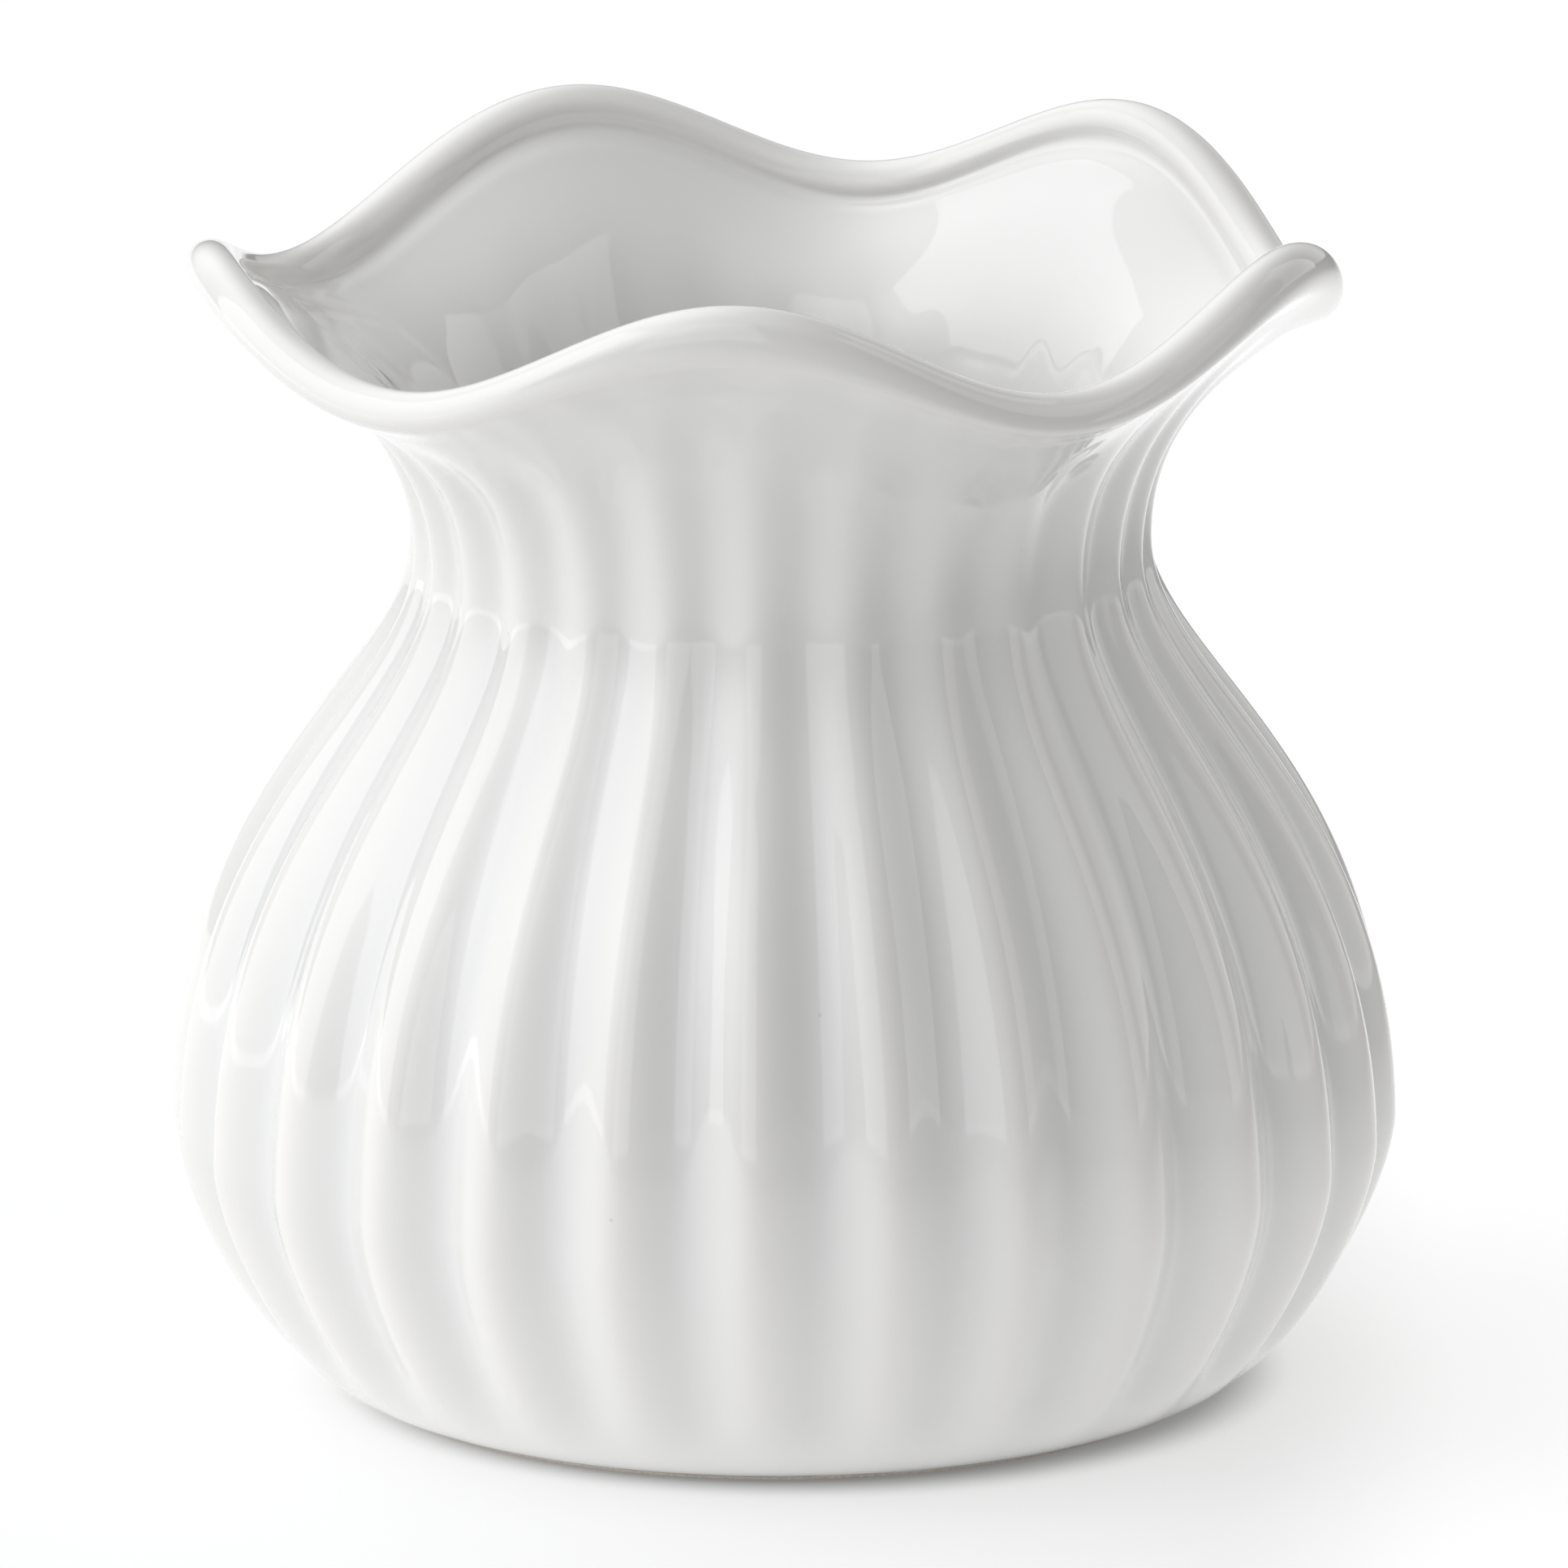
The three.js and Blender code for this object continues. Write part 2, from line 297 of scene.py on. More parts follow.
def vase_section(shape):
    """The closed section from the underside's middle, out, up, over the lip and down to the floor's middle.
    Gives the points without the two middles, and for each point 1 outside the wall, -1 inside it, else 0."""
    foot, recess, floor, _, _, _ = levels(shape)
    ring = shape.foot_radius - shape.foot_ring_width
    fillet, rounding = shape.recess_fillet, shape.foot_edge_rounding
    flat = np.linspace(FIRST_FLAT_RING, 1, FLAT_STEPS + 1)[:, None]
    underside = np.hstack([flat * (ring - fillet), np.full_like(flat, recess)])
    corner = arc((ring - fillet, recess - fillet), fillet, 90, 0, CORNER_STEPS)[1:]
    ring_in = arc((ring + fillet, foot + fillet), fillet, 180, 270, CORNER_STEPS)
    ring_out = arc((shape.foot_radius - rounding, foot + rounding), rounding, -90, 0, CORNER_STEPS)[:-1]
    steps = (LOWER_STEPS, UPPER_STEPS, FLARE_STEPS)
    lower, upper, flare = (bezier(corners, count) for corners, count in zip(outer_curves(shape), steps))
    outside = np.vstack([lower, upper[1:], flare[1:]])
    inside = inside_of(shape, outside)
    neck_ring = LOWER_STEPS + UPPER_STEPS
    hidden = inside[LOWER_STEPS // 2 : neck_ring : HIDDEN_STRIDE]
    inner = np.vstack([hidden, inside[neck_ring:]])[::-1]
    out_blend, roll, in_blend = rolled_lip(shape, outside[-1], inner[0])
    floor_edge = np.array([shape.foot_radius - shape.floor_inset, floor])
    elbow = np.array([(floor_edge[0] + inner[-1][0]) / 2, floor])
    t = np.linspace(0, 1, COVE_STEPS + 1)[1:, None]
    cove = (1 - t) ** 2 * inner[-1] + 2 * (1 - t) * t * elbow + t**2 * floor_edge
    inside_flat = np.hstack([flat[::-1][1:] * floor_edge[0], np.full_like(flat[1:], floor)])
    parts = [
        (underside, 0), (corner, 0), (ring_in, 0), (ring_out, 0), (outside, 1), (out_blend, 1),
        (roll, 0), (in_blend, -1), (inner, -1), (cove, -1), (inside_flat, 0),
    ]
    points = np.vstack([part for part, _ in parts])
    side = np.concatenate([np.full(len(part), mark, float) for part, mark in parts])
    return points, side


# How the ribs stray from their even places: size, waves round the vase, start
RIB_STRAYS = ((0.16, 3, 0.7), (0.11, 7, 2.1))
# How they sway as they rise: size, waves round the vase, turn for each metre of height
RIB_SWAY = (0.12, 2, 38)


def rib_hollow(shape, direction, height):
    """1 in the hollow between two ribs, 0 on a crest: a raised cosine around the vase.
    Each rib strays a little from its even place, as the carved pattern did, by slow sines of direction."""
    stray = sum(size * np.sin(waves * direction + start) for size, waves, start in RIB_STRAYS)
    size, waves, climb = RIB_SWAY
    sway = size * np.sin(waves * direction + height * climb)
    return (1 + np.cos(shape.ribs * (direction - shape.rib_turn) + stray + sway)) / 2


def shaped_grid(shape, points, side, direction):
    """Where each point of the plain section ends up at each direction: pressed in by a rib's hollow, drawn
    oval, and carried up, down, in or out by the ruffles. Gives x, y, z and the hollows, one row a point."""
    _, _, _, belly_level, neck_level, _ = levels(shape)
    radius, height = points[:, :1], points[:, 1:]
    outer, inner = np.maximum(side, 0)[:, None], np.maximum(-side, 0)[:, None]
    hollow = rib_hollow(shape, direction, height)
    drift = shape.ruffle_drift * np.sin(direction - shape.ruffle_drift_side)
    ruffle = np.cos(shape.ruffles * (direction - shape.ruffle_turn + drift))
    taller = 1 + shape.ruffle_unevenness * np.cos(direction - shape.ruffle_tall_side)
    lifted = np.clip((height - neck_level) / shape.lip_above_neck, 0, 1) ** shape.ruffle_onset
    neck_oval = (shape.neck_half_width - shape.neck_half_depth) / 2
    oval = neck_oval * smoothstep(height, belly_level, neck_level) + (shape.rim_oval - neck_oval) * lifted
    reach = shape.ruffle_reach * ruffle + shape.rim_shift * np.cos(direction)
    droop = shape.rim_saddle * np.cos(2 * direction) - shape.rim_tilt * np.cos(direction)
    carved = shape.rib_depth * rib_share(shape, radius, height)
    pressed = carved * (outer * hollow - inner * shape.rib_ghost * (1 - hollow))
    out = radius - pressed + oval * np.cos(2 * direction) + lifted * reach
    up = height + lifted * (shape.ruffle_rise * taller * ruffle - droop)
    place = np.stack([out * np.cos(direction), out * np.sin(direction), up], axis=2)
    return place, hollow * rib_share(shape, radius, height) * outer


def closed_mesh(name, grid, first_pole, last_pole):
    """A mesh of rings joined to the next by quads, with a fan of triangles to a pole at either end.
    Faces wind so that a section that runs out, up, in and down again faces outwards."""
    rings, around = grid.shape[:2]
    count = rings * around
    vertices = np.vstack([grid.reshape(-1, 3), first_pole, last_pole])
    ring = np.arange(rings - 1)[:, None] * around
    here = np.arange(around)
    after = np.roll(here, -1)
    sides = [ring + here, ring + after, ring + around + after, ring + around + here]
    quads = np.stack(sides, axis=2).reshape(-1)
    first_fan = np.stack([np.full(around, count), after, here], axis=1).reshape(-1)
    last = count - around
    last_fan = np.stack([last + here, last + after, np.full(around, count + 1)], axis=1).reshape(-1)
    corners = np.concatenate([quads, first_fan, last_fan])
    starts = np.concatenate([
        np.arange(len(quads) // 4) * 4,
        len(quads) + np.arange(2 * around) * 3,
    ])
    mesh = bpy.data.meshes.new(name)
    mesh.vertices.add(len(vertices))
    mesh.vertices.foreach_set("co", vertices.reshape(-1).astype(np.float32))
    mesh.loops.add(len(corners))
    mesh.loops.foreach_set("vertex_index", corners.astype(np.int32))
    mesh.polygons.add(len(starts))
    mesh.polygons.foreach_set("loop_start", starts.astype(np.int32))
    mesh.update(calc_edges=True)
    if mesh.validate():
        raise RuntimeError(f"the surface of {name} isn't a clean closed mesh")
    mesh.shade_smooth()
    return mesh


def put_attribute(mesh, name, values):
    """Stores one number for each vertex under a name that a material can read."""
    mesh.attributes.new(name, "FLOAT", "POINT").data.foreach_set("value", values.astype(np.float32))


def piece_from(mesh, material, slot, *replaced):
    """Makes the mesh a piece of the vase, in place of the construction solids that it stands for."""
    piece = bpy.data.objects.new(mesh.name, mesh)
    bpy.context.scene.collection.objects.link(piece)
    mesh.materials.append(material)
    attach(piece, BODY)
    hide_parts(*replaced)
    return piece


# Materials


class Wire:
    """A socket of a material's node tree. Sums, products and powers of it add the Math nodes for them."""

    def __init__(self, tree, socket=None):
        self.tree = tree
        self.socket = socket

    def node(self, kind, settings=None, sockets=None, output=0):
        """Adds a node: first its settings, then the values or wires of its sockets, by name or number."""
        node = self.tree.nodes.new(kind)
        for name, value in (settings or {}).items():
            if name == "stops":
                fill_ramp(node.color_ramp, value)
            else:
                setattr(node, name, value)
        for key, value in (sockets or {}).items():
            if isinstance(value, Wire):
                self.tree.links.new(value.socket, node.inputs[key])
            else:
                node.inputs[key].default_value = value
        return Wire(self.tree, node.outputs[output] if node.outputs else None)

    def maths(self, operation, *values):
        """Adds a Math node on these values or wires."""
        return self.node("ShaderNodeMath", {"operation": operation}, dict(enumerate(values)))

    def __add__(self, other):
        return self.maths("ADD", self, other)

    def __radd__(self, other):
        return self.maths("ADD", other, self)

    def __sub__(self, other):
        return self.maths("SUBTRACT", self, other)

    def __rsub__(self, other):
        return self.maths("SUBTRACT", other, self)

    def __mul__(self, other):
        return self.maths("MULTIPLY", self, other)

    def __rmul__(self, other):
        return self.maths("MULTIPLY", other, self)


def fill_ramp(ramp, stops):
    """Gives a ramp its stops, a list of (position, colour)."""
    while len(ramp.elements) < len(stops):
        ramp.elements.new(1)
    for element, (position, value) in zip(ramp.elements, stops):
        element.position = position
        element.color = value


def new_material(name):
    """An empty node material, and a wire to start its tree from."""
    material = bpy.data.materials.new(name)
    material.use_nodes = True
    material.node_tree.nodes.clear()
    return material, Wire(material.node_tree)


def noise(start, coordinates, per_metre, detail=2, roughness=0.5):
    """A smooth random value of about 0.5 that changes over one part in per_metre of a metre."""
    settings = {"noise_dimensions": "3D"}
    sockets = {"Vector": coordinates, "Scale": per_metre, "Detail": detail, "Roughness": roughness}
    return start.node("ShaderNodeTexNoise", settings, sockets)


def band(wire, low, high):
    """0 where the wire is below low, 1 above high, smooth between them."""
    settings = {"interpolation_type": "SMOOTHSTEP"}
    return wire.node("ShaderNodeMapRange", settings, {"Value": wire, "From Min": low, "From Max": high})


def blend_colours(factor, first, second):
    """The first colour where the factor is 0 and the second where it is 1."""
    pair = {0: factor, 6: as_rgba(first), 7: as_rgba(second)}
    return factor.node("ShaderNodeMix", {"data_type": "RGBA"}, pair, output=2)


def as_rgba(value):
    """A colour property as four numbers, or a wire as it is."""
    return value if isinstance(value, Wire) else (*value, 1)


def finish_surface(start, sockets, settings=None):
    """Ends a material in one Principled shader with these sockets."""
    shader = start.node("ShaderNodeBsdfPrincipled", settings, sockets)
    start.node("ShaderNodeOutputMaterial", None, {"Surface": shader})


def uneven(mask, cloud, amount):
    """The mask, made stronger or weaker by up to half the amount where the cloud is bright or dark."""
    return mask * ((1 - amount / 2) + cloud * amount)


def relief(start, height):
    """A bump of a height in metres."""
    return start.node("ShaderNodeBump", None, {"Strength": 1, "Distance": 1, "Height": height})


# The glaze stops a little above the foot's edge, along a wandering line
GLAZE_LINE = 0.55 * MILLIMETRE
GLAZE_LINE_WANDER = 0.9 * MILLIMETRE
GLAZE_LINE_EDGE = 0.08 * MILLIMETRE
# Heights of the relief
GLAZE_DEPTH = 0.12 * MILLIMETRE
CLAY_GRAIN_DEPTH = 0.05 * MILLIMETRE
RIPPLE_DEPTH = 0.03 * MILLIMETRE
FINE_RIPPLE_DEPTH = 0.0016 * MILLIMETRE
PAD_GRAIN_DEPTH = 0.02 * MILLIMETRE
# How often each pattern changes over a metre
CLOUDS = 24
RIPPLES = 110
FINE_RIPPLES = 420
CLAY_GRAINS = 2600
LINE_WAVES = 70
SPECK_CELLS = 150
SPECK_PATCHES = 95
PAD_MOTTLE = 300
PAD_GRAINS = 3500
# A speck fades out between these shares of its cell, and only patches this bright have one
SPECK_EDGE = (0.03, 0.05)
SPECK_PATCH_EDGE = (0.66, 0.7)
SPECK_SHOW = 0.55
CLOUD_EDGE = (0.35, 0.75)
CLOUD_SHOW = 0.18
CLAY_GRAIN_EDGE = (0.42, 0.66)
CLEAR_SKIN = 0.6
SKIN_ROUGHNESS = 0.02
GLASS_INDEX = 1.5
CLAY_ROUGHNESS = 0.85
GLOSS_VARIES = 0.06
# The pads' mottle, the share of their colour that dust leaves, and their roughness with what mottle adds
PAD_MOTTLE_EDGE = (0.4, 0.7)
PAD_DUSTED = 0.8
PAD_ROUGHNESS = 0.45
PAD_ROUGHER = 0.25


def glazed_ceramic(finish):
    """White gloss glaze over clay. It is a little greyer and cooler where it has pooled in the hollows and
    warmer where it has run thin on the crests, carries a few specks, and stops at the wiped foot ring."""
    material, start = new_material("glazed_ceramic")
    place = start.node("ShaderNodeTexCoord", output=3)
    height = start.node("ShaderNodeSeparateXYZ", None, {0: place}, output=2)
    pooled = start.node("ShaderNodeAttribute", {"attribute_name": "pooled"}, output=2)
    thin = start.node("ShaderNodeAttribute", {"attribute_name": "thin"}, output=2)
    cloud = noise(start, place, CLOUDS, detail=3)
    fine = noise(start, place, FINE_RIPPLES)
    grain = noise(start, place, CLAY_GRAINS, detail=3, roughness=0.65)

    wander = (noise(start, place, LINE_WAVES) - 0.5) * GLAZE_LINE_WANDER
    glazed = band(height - (FOOT_LEVEL + GLAZE_LINE + wander), -GLAZE_LINE_EDGE, GLAZE_LINE_EDGE)

    glaze = blend_colours(uneven(pooled, cloud, 0.5), finish.glaze, finish.pooled)
    glaze = blend_colours(uneven(thin, cloud, 1), glaze, finish.thin)
    glaze = blend_colours(band(cloud, *CLOUD_EDGE) * CLOUD_SHOW, glaze, finish.pooled)
    cells = {"Vector": place, "Scale": SPECK_CELLS, "Randomness": 1}
    from_dot = start.node("ShaderNodeTexVoronoi", None, cells)
    chosen = band(noise(start, place, SPECK_PATCHES, detail=0), *SPECK_PATCH_EDGE)
    specks = (1 - band(from_dot, *SPECK_EDGE)) * chosen
    glaze = blend_colours(specks * SPECK_SHOW, glaze, finish.speck)
    clay = blend_colours(band(grain, *CLAY_GRAIN_EDGE), finish.clay, finish.clay_dark)

    body = glazed * GLAZE_DEPTH + (1 - glazed) * grain * CLAY_GRAIN_DEPTH
    ripple = noise(start, place, RIPPLES, detail=1) * RIPPLE_DEPTH + fine * FINE_RIPPLE_DEPTH
    dulled = CLAY_ROUGHNESS - glazed * (CLAY_ROUGHNESS - finish.gloss)
    finish_surface(start, {
        "Base Color": blend_colours(glazed, clay, glaze),
        "Roughness": dulled + glazed * (cloud - 0.5) * GLOSS_VARIES,
        "IOR": GLASS_INDEX,
        "Coat Weight": glazed * CLEAR_SKIN,
        "Coat Roughness": SKIN_ROUGHNESS,
        "Coat IOR": GLASS_INDEX,
        "Normal": relief(start, body + glazed * ripple),
    })
    return material


def soft_pad(finish):
    """Milky, slightly tacky pad: matt, with a faint dusty mottle and a fine moulded grain."""
    material, start = new_material("foot_pad")
    place = start.node("ShaderNodeTexCoord", output=3)
    mottle = noise(start, place, PAD_MOTTLE, detail=4)
    grain = noise(start, place, PAD_GRAINS)
    dusty = tuple(channel * PAD_DUSTED for channel in finish.pad)
    finish_surface(start, {
        "Base Color": blend_colours(band(mottle, *PAD_MOTTLE_EDGE), finish.pad, dusty),
        "Roughness": PAD_ROUGHNESS + mottle * PAD_ROUGHER,
        "Normal": relief(start, grain * PAD_GRAIN_DEPTH),
    })
    return material


# Where the floor's painted glow lies, and the painted shadow round the vase, in metres across, away from the
# camera, and from the vase
PAINTED_SHADOW_MIDDLE = (0.003, 0, 0)
PAINTED_SHADOW_EDGE = (0.05, 0.06)
RIGHT_LIFT = (0.05, 0.085)
BACK_LIFT = (0.05, 0.25)
ENDS_ON_RIGHT = (0.12, 0.4)
ENDS_IN_FRONT = (0.12, 0.5)
# The front edge runs askew: it is measured along this direction, across and away
FRONT_ASKEW = (0.5, -0.87)
# How strong the painted glow is: round the vase, the share of that under it, which paints the vase's shadow,
# and what is added on the right and behind, painted light that whitens the top there
PAINTED_GLOW_ROUND_VASE = 0.49
GLOW_IN_PAINTED_SHADOW = 0.3
PAINTED_GLOW_ON_RIGHT = 0.12
PAINTED_GLOW_BEHIND = 0.08
# The top's own colours, its two tones where it is lit, and the darker tone beyond, painted shade for the dim
# room round the set
PALE_TOP = (0.5, 0.5, 0.5)
PALER_TOP = (0.51, 0.51, 0.51)
SHADED_FAR_TOP = (0.36, 0.36, 0.36)
TONE_PATCHES = 6
TONE_EDGE = (0.3, 0.7)
TOP_ROUGHNESS = 0.9


def floor_with_painted_glow(studio):
    """Milky matt table top with a barely visible tone and a painted glow, as if lit from below. The glow is
    weak under the vase, a painted shadow, and a little stronger on its right and behind it. Far to the
    right and in front it ends, and the top is greyer there, painted shade."""
    material, start = new_material("studio_floor")
    place = start.node("ShaderNodeTexCoord", output=3)
    across = start.node("ShaderNodeSeparateXYZ", None, {0: place})
    away = start.node("ShaderNodeSeparateXYZ", None, {0: place}, output=1)
    ends = {0: place, 1: PAINTED_SHADOW_MIDDLE}
    from_vase = start.node("ShaderNodeVectorMath", {"operation": "DISTANCE"}, ends, output=1)
    toward_front = across * FRONT_ASKEW[0] + away * FRONT_ASKEW[1]
    lit = (1 - band(across, *ENDS_ON_RIGHT)) * (1 - band(toward_front, *ENDS_IN_FRONT))
    # The glow is painted light, as from below the table. It drops to a share of itself round the vase, which
    # is a painted shadow, and it rises on the right and behind.
    strength = PAINTED_GLOW_ROUND_VASE * (GLOW_IN_PAINTED_SHADOW + band(from_vase, *PAINTED_SHADOW_EDGE) * (1 - GLOW_IN_PAINTED_SHADOW))
    strength = strength + band(across, *RIGHT_LIFT) * PAINTED_GLOW_ON_RIGHT + band(away, *BACK_LIFT) * PAINTED_GLOW_BEHIND
    tone = band(noise(start, place, TONE_PATCHES), *TONE_EDGE)
    finish_surface(start, {
        # Greyer beyond the glow: painted shade for the dim room round the set
        "Base Color": blend_colours(lit, SHADED_FAR_TOP, blend_colours(tone, PALE_TOP, PALER_TOP)),
        "Roughness": TOP_ROUGHNESS,
        "Specular IOR Level": 0,
        # The top glows with no lamp in it: painted light
        "Emission Color": blend_colours(lit * strength, (0, 0, 0), (1, 1, 1)),
        "Emission Strength": studio.painted_glow_strength,
    })
    return material


# Making


# The glaze runs thin over the lip, up to these distances from its centre line, and by this much
LIP_THIN = (3.4 * MILLIMETRE, 5 * MILLIMETRE)
LIP_THINNESS = 0.6


class VASE_OT_body(bpy.types.Operator):
    """Make the glazed ceramic: foot, ribbed belly, neck, flare and ruffled lip in one fired shell"""

    bl_idname = "vase.body"
    bl_label = "Glazed body"

    def execute(self, context):
        shape = context.scene.vase_shape
        points, side = vase_section(shape)
        around = shape.ribs * STEPS_PER_RIB
        direction = shape.rib_turn + 2 * math.pi * np.arange(around) / around
        grid, pooled = shaped_grid(shape, points, side, direction)
        _, recess, floor, _, _, _ = levels(shape)
        mesh = closed_mesh("glazed_body", grid, (0, 0, recess), (0, 0, floor))
        ribbed = rib_share(shape, points[:, :1], points[:, 1:]) * (side[:, None] > 0)
        crest = ribbed - pooled
        centre = lip_frame(shape)[0]
        on_lip = 1 - smoothstep(np.linalg.norm(points - centre, axis=1), *LIP_THIN)
        thin = np.maximum(crest**2, np.broadcast_to(on_lip[:, None] * LIP_THINNESS, crest.shape))
        put_attribute(mesh, "pooled", np.append(pooled.reshape(-1), [0, 0]))
        put_attribute(mesh, "thin", np.append(thin.reshape(-1), [0, 0]))
        piece_from(mesh, glazed_ceramic(context.scene.vase_finish), "glazed_ceramic", "vase_body")
        return {"FINISHED"}


class VASE_OT_pads(bpy.types.Operator):
    """Make the four soft pads under the foot, each a low dome with a soft edge"""

    bl_idname = "vase.pads"
    bl_label = "Foot pads"

    def execute(self, context):
        material = soft_pad(context.scene.vase_finish)
        for name in PAD_NODES:
            low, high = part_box(name)
            middle = (low + high) / 2
            radius = (high.x - low.x) / 2
            piece_from(pad_mesh(f"soft_{name}", middle, radius, low.z, high.z), material, "foot_pad", name)
        return {"FINISHED"}


PAD_AROUND = 64
PAD_RINGS = 8
PAD_FIRST_RING = 0.15
PAD_EDGE = 0.5 * MILLIMETRE
PAD_EDGE_STEPS = 6
PAD_CROWN = 0.08 * MILLIMETRE


def pad_mesh(name, middle, radius, low, high):
    """A disc as a turned section: flat on its stuck side, upright, round at its edge, and very slightly
    crowned underneath, where it rises with the square of the radius."""
    reach = np.linspace(PAD_FIRST_RING, 1, PAD_RINGS)[:, None] * (radius - PAD_EDGE)
    crown = low + PAD_CROWN * (reach / radius) ** 2
    bottom = np.hstack([reach, crown])
    centre = (radius - PAD_EDGE, crown[-1, 0] + PAD_EDGE)
    edge = arc(centre, PAD_EDGE, -90, 0, PAD_EDGE_STEPS)[1:]
    top = np.array([(radius, high - PAD_CROWN), (radius - PAD_CROWN, high), (radius / 2, high)])
    section = np.vstack([bottom, edge, top])
    direction = 2 * math.pi * np.arange(PAD_AROUND) / PAD_AROUND
    x = middle.x + section[:, :1] * np.cos(direction)
    y = middle.y + section[:, :1] * np.sin(direction)
    z = np.broadcast_to(section[:, 1:], x.shape)
    poles = [(middle.x, middle.y, level) for level in (low, high)]
    return closed_mesh(name, np.stack([x, y, z], axis=2), *poles)


FLOOR_RADIUS = 9.0
FLOOR_CORNERS = 96
PANEL_DISTANCE = 1.3
COOL_KEY = (0.978, 0.987, 1.0)
WARM_FILL = (1.0, 0.993, 0.978)
# Upright panels: first and last degree round from the vase's right, height, brightness, tint
PANELS = {
    "right_front_panel": (-28, -2, 1.85, 0.7, WARM_FILL),
    "right_middle_panel": (-2, 16, 1.85, 0.34, WARM_FILL),
    "right_back_panel": (16, 43, 1.85, 0.7, WARM_FILL),
    "front_left_panel": (-122, -86, 1.7, 0.75, COOL_KEY),
    "left_panel": (150, 210, 1.85, 0.95, COOL_KEY),
}
# Soft lobes of light off the room: degrees round from the vase's right, degrees up, tightness, strength
ROOM_LIGHT = (
    (-144, 35, 10, 1.7),
    (144, 65, 10, 1.6),
    (108, 35, 10, 1.15),
    (60, 5, 12, 0.8),
    (180, 35, 10, 0.6),
    (-72, 65, 10, 0.7),
    (120, 5, 12, 0.5),
    (-75, 5, 12, 0.2),
)
# The room's cool side, in the same degrees, and how far the cool tint reaches round it
COOL_SIDE = (170, 20)
COOL_REACH = (-0.3, 0.6)
SENSOR_WIDTH = 36


class VASE_OT_stage(bpy.types.Operator):
    """Set up the pale floor, the soft studio light and the camera"""

    bl_idname = "vase.stage"
    bl_label = "Studio"

    def execute(self, context):
        studio = context.scene.vase_studio
        make_floor(studio)
        make_lights(studio)
        make_camera(studio)
        context.scene.view_settings.view_transform = "Standard"
        return {"FINISHED"}


def make_floor(studio):
    """A wide round sheet that the vase stands on."""
    direction = 2 * math.pi * np.arange(FLOOR_CORNERS) / FLOOR_CORNERS
    ring = np.stack([np.cos(direction), np.sin(direction), np.zeros(FLOOR_CORNERS)], axis=1)
    mesh = bpy.data.meshes.new("floor")
    mesh.from_pydata((ring * FLOOR_RADIUS).tolist(), [], [list(range(FLOOR_CORNERS))])
    mesh.materials.append(floor_with_painted_glow(studio))
    floor = bpy.data.objects.new("floor", mesh)
    bpy.context.scene.collection.objects.link(floor)


def soft_panel(name, first, last, height, brightness, tint):
    """An upright, evenly bright panel that stands on the table from one azimuth to another."""
    middle = towards((first + last) / 2, 0) * PANEL_DISTANCE
    width = 2 * PANEL_DISTANCE * math.tan(math.radians((last - first) / 2))
    data = bpy.data.lights.new(name, "AREA")
    data.shape = "RECTANGLE"
    data.size = width
    data.size_y = height
    data.energy = brightness * math.pi * width * height
    data.color = tint
    panel = bpy.data.objects.new(name, data)
    panel.location = middle + Vector((0, 0, height / 2))
    panel.rotation_euler = (-middle).to_track_quat("-Z", "Y").to_euler()
    panel.visible_camera = False
    bpy.context.scene.collection.objects.link(panel)


def towards(azimuth, elevation):
    """The unit vector at these angles in degrees, from the vase's right round over its back."""
    turn, lift = math.radians(azimuth), math.radians(elevation)
    return Vector((math.cos(lift) * math.cos(turn), math.cos(lift) * math.sin(turn), math.sin(lift)))


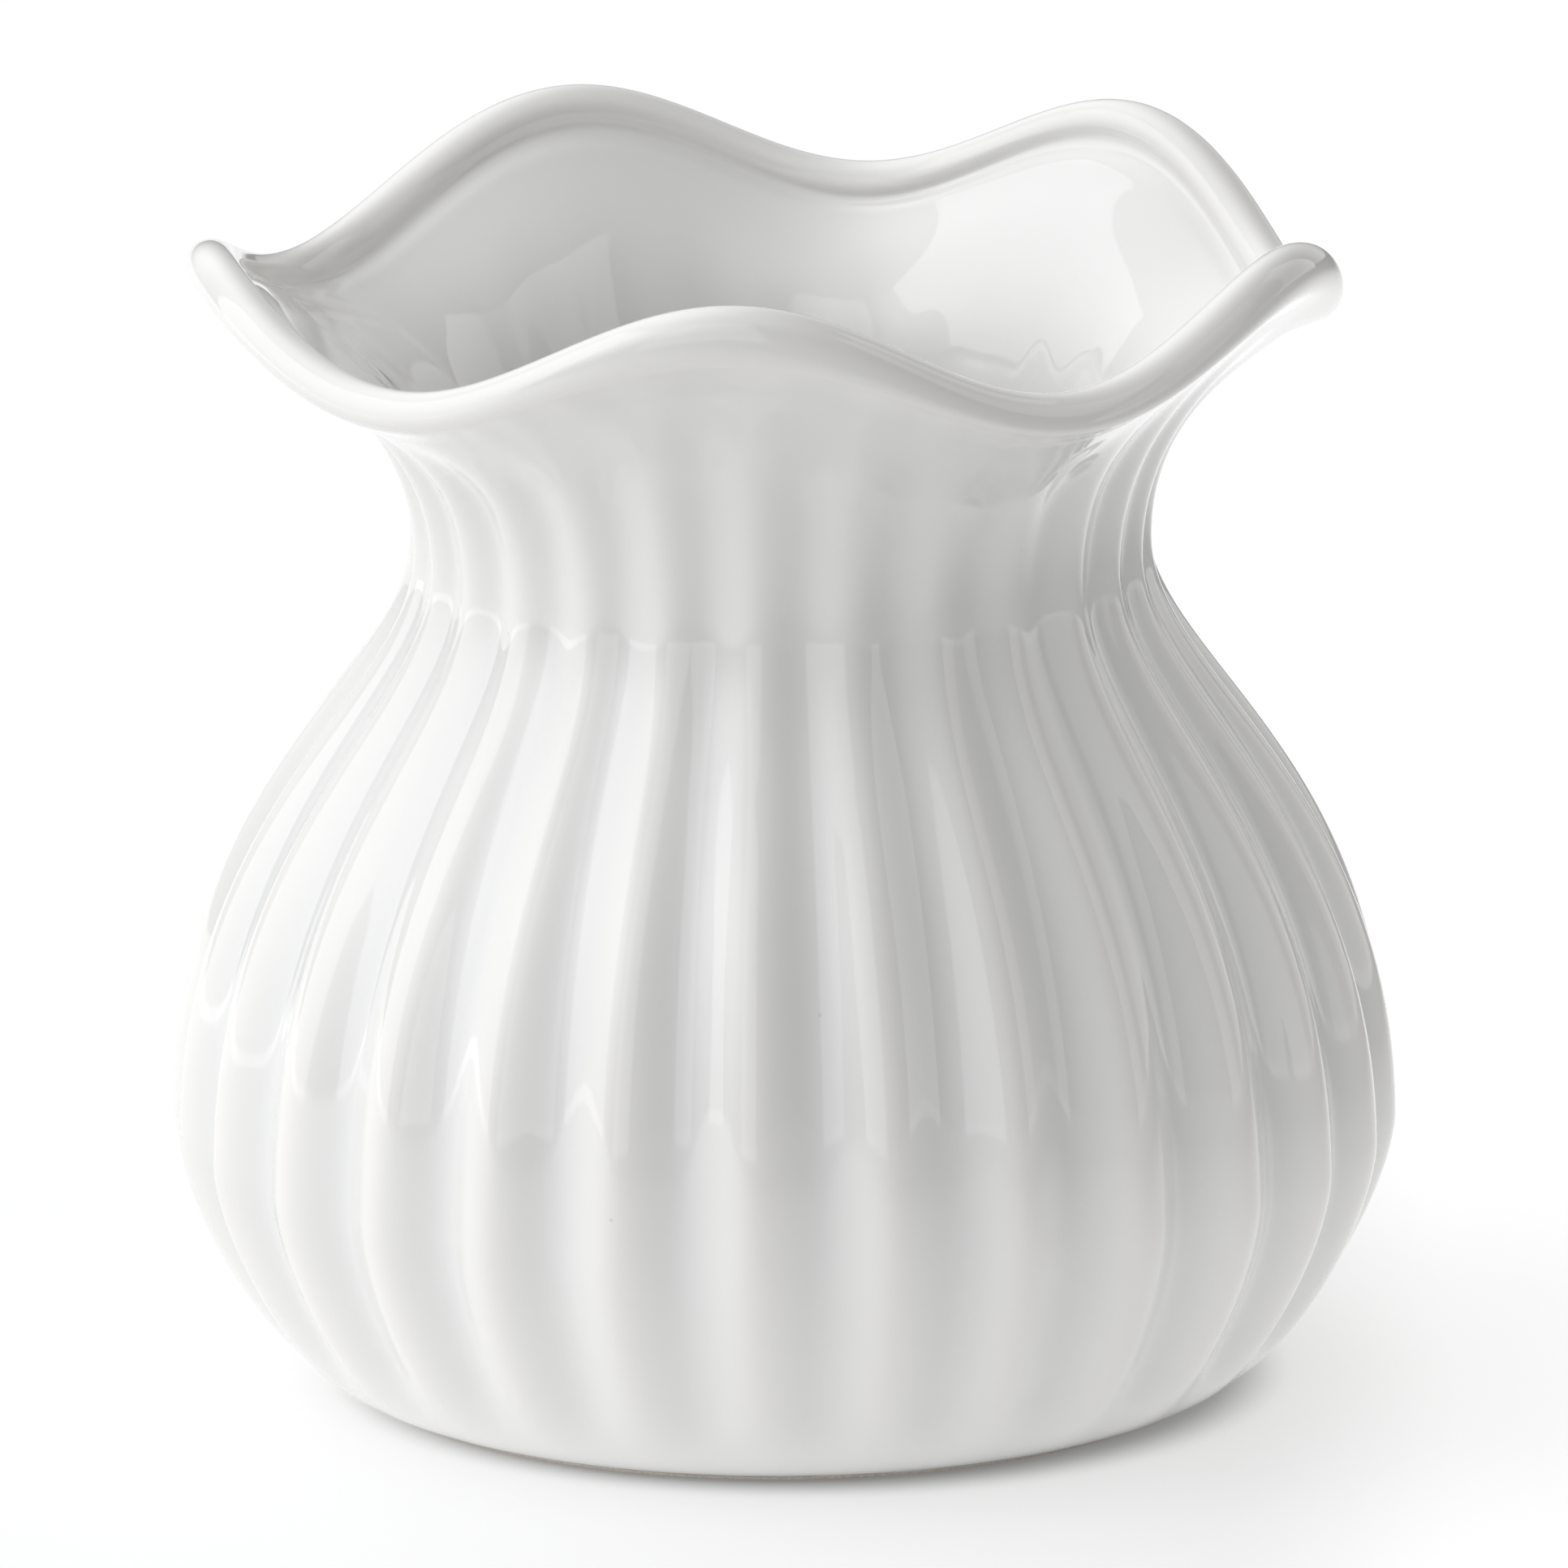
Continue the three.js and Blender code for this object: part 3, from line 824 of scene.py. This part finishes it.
def make_lights(studio):
    """Upright soft panels on the left, on the right and in front, and the light that comes off the room."""
    for name, (first, last, height, brightness, tint) in PANELS.items():
        soft_panel(name, first, last, height, brightness * studio.panel_strength, tint)
    world = bpy.data.worlds.new("room_light")
    world.use_nodes = True
    world.node_tree.nodes.clear()
    start = Wire(world.node_tree)
    direction = start.node("ShaderNodeTexCoord")
    total = None
    for azimuth, elevation, tightness, strength in ROOM_LIGHT:
        facing = start.node(*facing_part(direction, azimuth, elevation), output=1)
        lit = facing.maths("MAXIMUM", facing, 0)
        lobe = lit.maths("POWER", lit, tightness) * (strength * studio.room_strength)
        total = lobe if total is None else total + lobe
    cool_side = start.node(*facing_part(direction, *COOL_SIDE), output=1)
    tint = blend_colours(band(cool_side, *COOL_REACH), WARM_FILL, COOL_KEY)
    air = start.node("ShaderNodeBackground", None, {"Color": tint, "Strength": total})
    start.node("ShaderNodeOutputWorld", None, {"Surface": air})
    bpy.context.scene.world = world


def facing_part(direction, azimuth, elevation):
    """The Vector Math node that gives the cosine between a direction and the one at these angles."""
    sockets = {0: direction, 1: towards(azimuth, elevation)}
    return "ShaderNodeVectorMath", {"operation": "DOT_PRODUCT"}, sockets


def make_camera(studio):
    """A long lens in front of the vase, a little above it and turned a little about its own axis."""
    elevation, roll = studio.camera_elevation, studio.camera_roll
    back = Vector((0, -math.cos(elevation), math.sin(elevation)))
    right = Vector((1, 0, 0))
    up = back.cross(right)
    turned_right = right * math.cos(roll) + up * math.sin(roll)
    turned_up = up * math.cos(roll) - right * math.sin(roll)
    data = bpy.data.cameras.new("camera")
    data.sensor_width = SENSOR_WIDTH
    data.lens = studio.camera_lens
    camera = bpy.data.objects.new("camera", data)
    placing = Matrix((turned_right, turned_up, back)).transposed().to_4x4()
    placing.translation = Vector((studio.aim_across, 0, studio.aim_height)) + back * studio.camera_distance
    camera.matrix_world = placing
    bpy.context.scene.collection.objects.link(camera)
    bpy.context.scene.camera = camera


class VASE_PT_making(bpy.types.Panel):
    """The steps that make the vase"""

    bl_label = "Ribbed vase"
    bl_idname = "VASE_PT_making"
    bl_space_type = "VIEW_3D"
    bl_region_type = "UI"
    bl_category = "Vase"

    def draw(self, context):
        for step in STEPS:
            self.layout.operator(step.bl_idname)
        for group in (context.scene.vase_shape, context.scene.vase_finish, context.scene.vase_studio):
            for name in group.bl_rna.properties.keys():
                if name not in ("rna_type", "name"):
                    self.layout.prop(group, name)


STEPS = (VASE_OT_body, VASE_OT_pads, VASE_OT_stage)
CLASSES = (VaseShape, VaseFinish, VaseStudio, *STEPS, VASE_PT_making)


def main():
    """Makes everything in order."""
    register()
    bpy.ops.vase.body()
    bpy.ops.vase.pads()
    bpy.ops.vase.stage()


if __name__ == "__main__":
    main()
